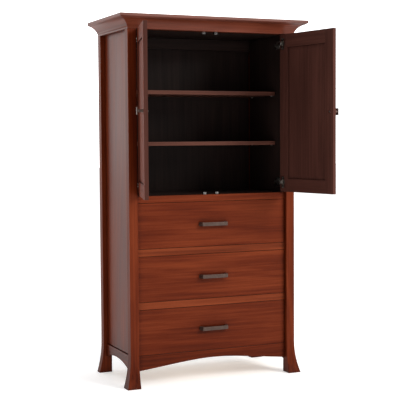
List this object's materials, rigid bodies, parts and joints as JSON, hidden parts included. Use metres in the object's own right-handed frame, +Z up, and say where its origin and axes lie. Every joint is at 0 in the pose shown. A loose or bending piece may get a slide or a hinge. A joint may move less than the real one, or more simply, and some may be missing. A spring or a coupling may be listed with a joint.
{
  "type": "armoire",
  "caption": "Tall wooden armoire with hinged doors over drawers, a cove crown, recessed side panels and flared legs, doors standing open.",
  "frame": {"origin": "on the floor, in the middle of the sole of the front left foot, left as seen from the front", "axes": "+X to the right seen from the front, the doors and drawers face -Y, +Z up; the case's middle plane is X = 0.4635"},
  "size_m": [1.0964, 0.8694, 1.9],
  "materials": {
    "wood_case": "satin lacquer on red-brown stained cherry, grain along each board",
    "wood_panel": "satin lacquer on red-brown stained cherry, upright grain",
    "wood_drawer_front": "satin lacquer on red-brown stained cherry, grain across the drawer",
    "wood_top": "satin lacquer on red-brown stained cherry",
    "wood_inside": "thin satin lacquer on darker stained wood",
    "wood_drawer_box": "clear sealed pale hardwood",
    "bronze": "dark oil-rubbed bronze, satin",
    "steel": "nickel-plated steel",
    "catch_metal": "satin nickel"
  },
  "bodies": {
    "case": {"back_panel": "wood_inside", "back_rails": "wood_inside", "compartment_ceiling": "wood_inside", "compartment_floor": "wood_inside", "crown_front": "wood_top", "crown_left": "wood_top", "crown_right": "wood_top", "door_catches": "catch_metal", "drawer_rails": "wood_case", "drawer_runners": "wood_drawer_box", "front_apron": "wood_case", "front_post_left": "wood_case", "front_post_right": "wood_case", "hinge_arms": "steel", "rear_post_left": "wood_case", "rear_post_right": "wood_case", "shelf_lower": "wood_inside", "shelf_pins": "steel", "shelf_upper": "wood_inside", "side_aprons": "wood_case", "side_liners": "wood_inside", "side_panel_left": "wood_panel", "side_panel_right": "wood_panel", "sill_rail": "wood_case", "top_frame_rails": "wood_case", "top_slab": "wood_top"},
    "left_door": {"left_door_hinge_cups": "steel", "left_door_hinge_stile": "wood_case", "left_door_knob": "bronze", "left_door_meeting_stile": "wood_case", "left_door_panel": "wood_panel", "left_door_rails": "wood_case", "left_door_screws": "steel"},
    "left_hinge_links": {"left_hinge_links": "steel"},
    "right_door": {"right_door_hinge_cups": "steel", "right_door_hinge_stile": "wood_case", "right_door_knob": "bronze", "right_door_meeting_stile": "wood_case", "right_door_panel": "wood_panel", "right_door_rails": "wood_case", "right_door_screws": "steel"},
    "right_hinge_links": {"right_hinge_links": "steel"},
    "drawer_top": {"drawer_top_back": "wood_drawer_box", "drawer_top_bottom": "wood_drawer_box", "drawer_top_front": "wood_drawer_front", "drawer_top_pull": "bronze", "drawer_top_pull_screws": "steel", "drawer_top_sides": "wood_drawer_box"},
    "drawer_middle": {"drawer_middle_back": "wood_drawer_box", "drawer_middle_bottom": "wood_drawer_box", "drawer_middle_front": "wood_drawer_front", "drawer_middle_pull": "bronze", "drawer_middle_pull_screws": "steel", "drawer_middle_sides": "wood_drawer_box"},
    "drawer_bottom": {"drawer_bottom_back": "wood_drawer_box", "drawer_bottom_bottom": "wood_drawer_box", "drawer_bottom_front": "wood_drawer_front", "drawer_bottom_pull": "bronze", "drawer_bottom_pull_screws": "steel", "drawer_bottom_sides": "wood_drawer_box"}
  },
  "joints": [
    {"name": "left_door_hinge", "type": "hinge", "parent": "case", "child": "left_door", "pos_m": [0.0415, 0.01, 1.407], "axis": [0, 0, 1], "range_deg": [-3.5, 106.5]},
    {"name": "left_link_pivot", "type": "hinge", "parent": "case", "child": "left_hinge_links", "pos_m": [0.0505, 0.038, 1.407], "axis": [0, 0, 1], "range_deg": [-3.1, 90.6]},
    {"name": "right_door_hinge", "type": "hinge", "parent": "case", "child": "right_door", "pos_m": [0.8855, 0.01, 1.407], "axis": [0, 0, 1], "range_deg": [-101, 9]},
    {"name": "right_link_pivot", "type": "hinge", "parent": "case", "child": "right_hinge_links", "pos_m": [0.8765, 0.038, 1.407], "axis": [0, 0, 1], "range_deg": [-86, 7.8]},
    {"name": "drawer_top_slide", "type": "slide", "parent": "case", "child": "drawer_top", "axis": [0, -1, 0], "range_m": [0, 0.32]},
    {"name": "drawer_middle_slide", "type": "slide", "parent": "case", "child": "drawer_middle", "axis": [0, -1, 0], "range_m": [0, 0.32]},
    {"name": "drawer_bottom_slide", "type": "slide", "parent": "case", "child": "drawer_bottom", "axis": [0, -1, 0], "range_m": [0, 0.32]}
  ],
  "couplings": [
    {"joint": "left_link_pivot", "follows": "left_door_hinge", "ratio": 0.85},
    {"joint": "right_link_pivot", "follows": "right_door_hinge", "ratio": 0.85}
  ]
}
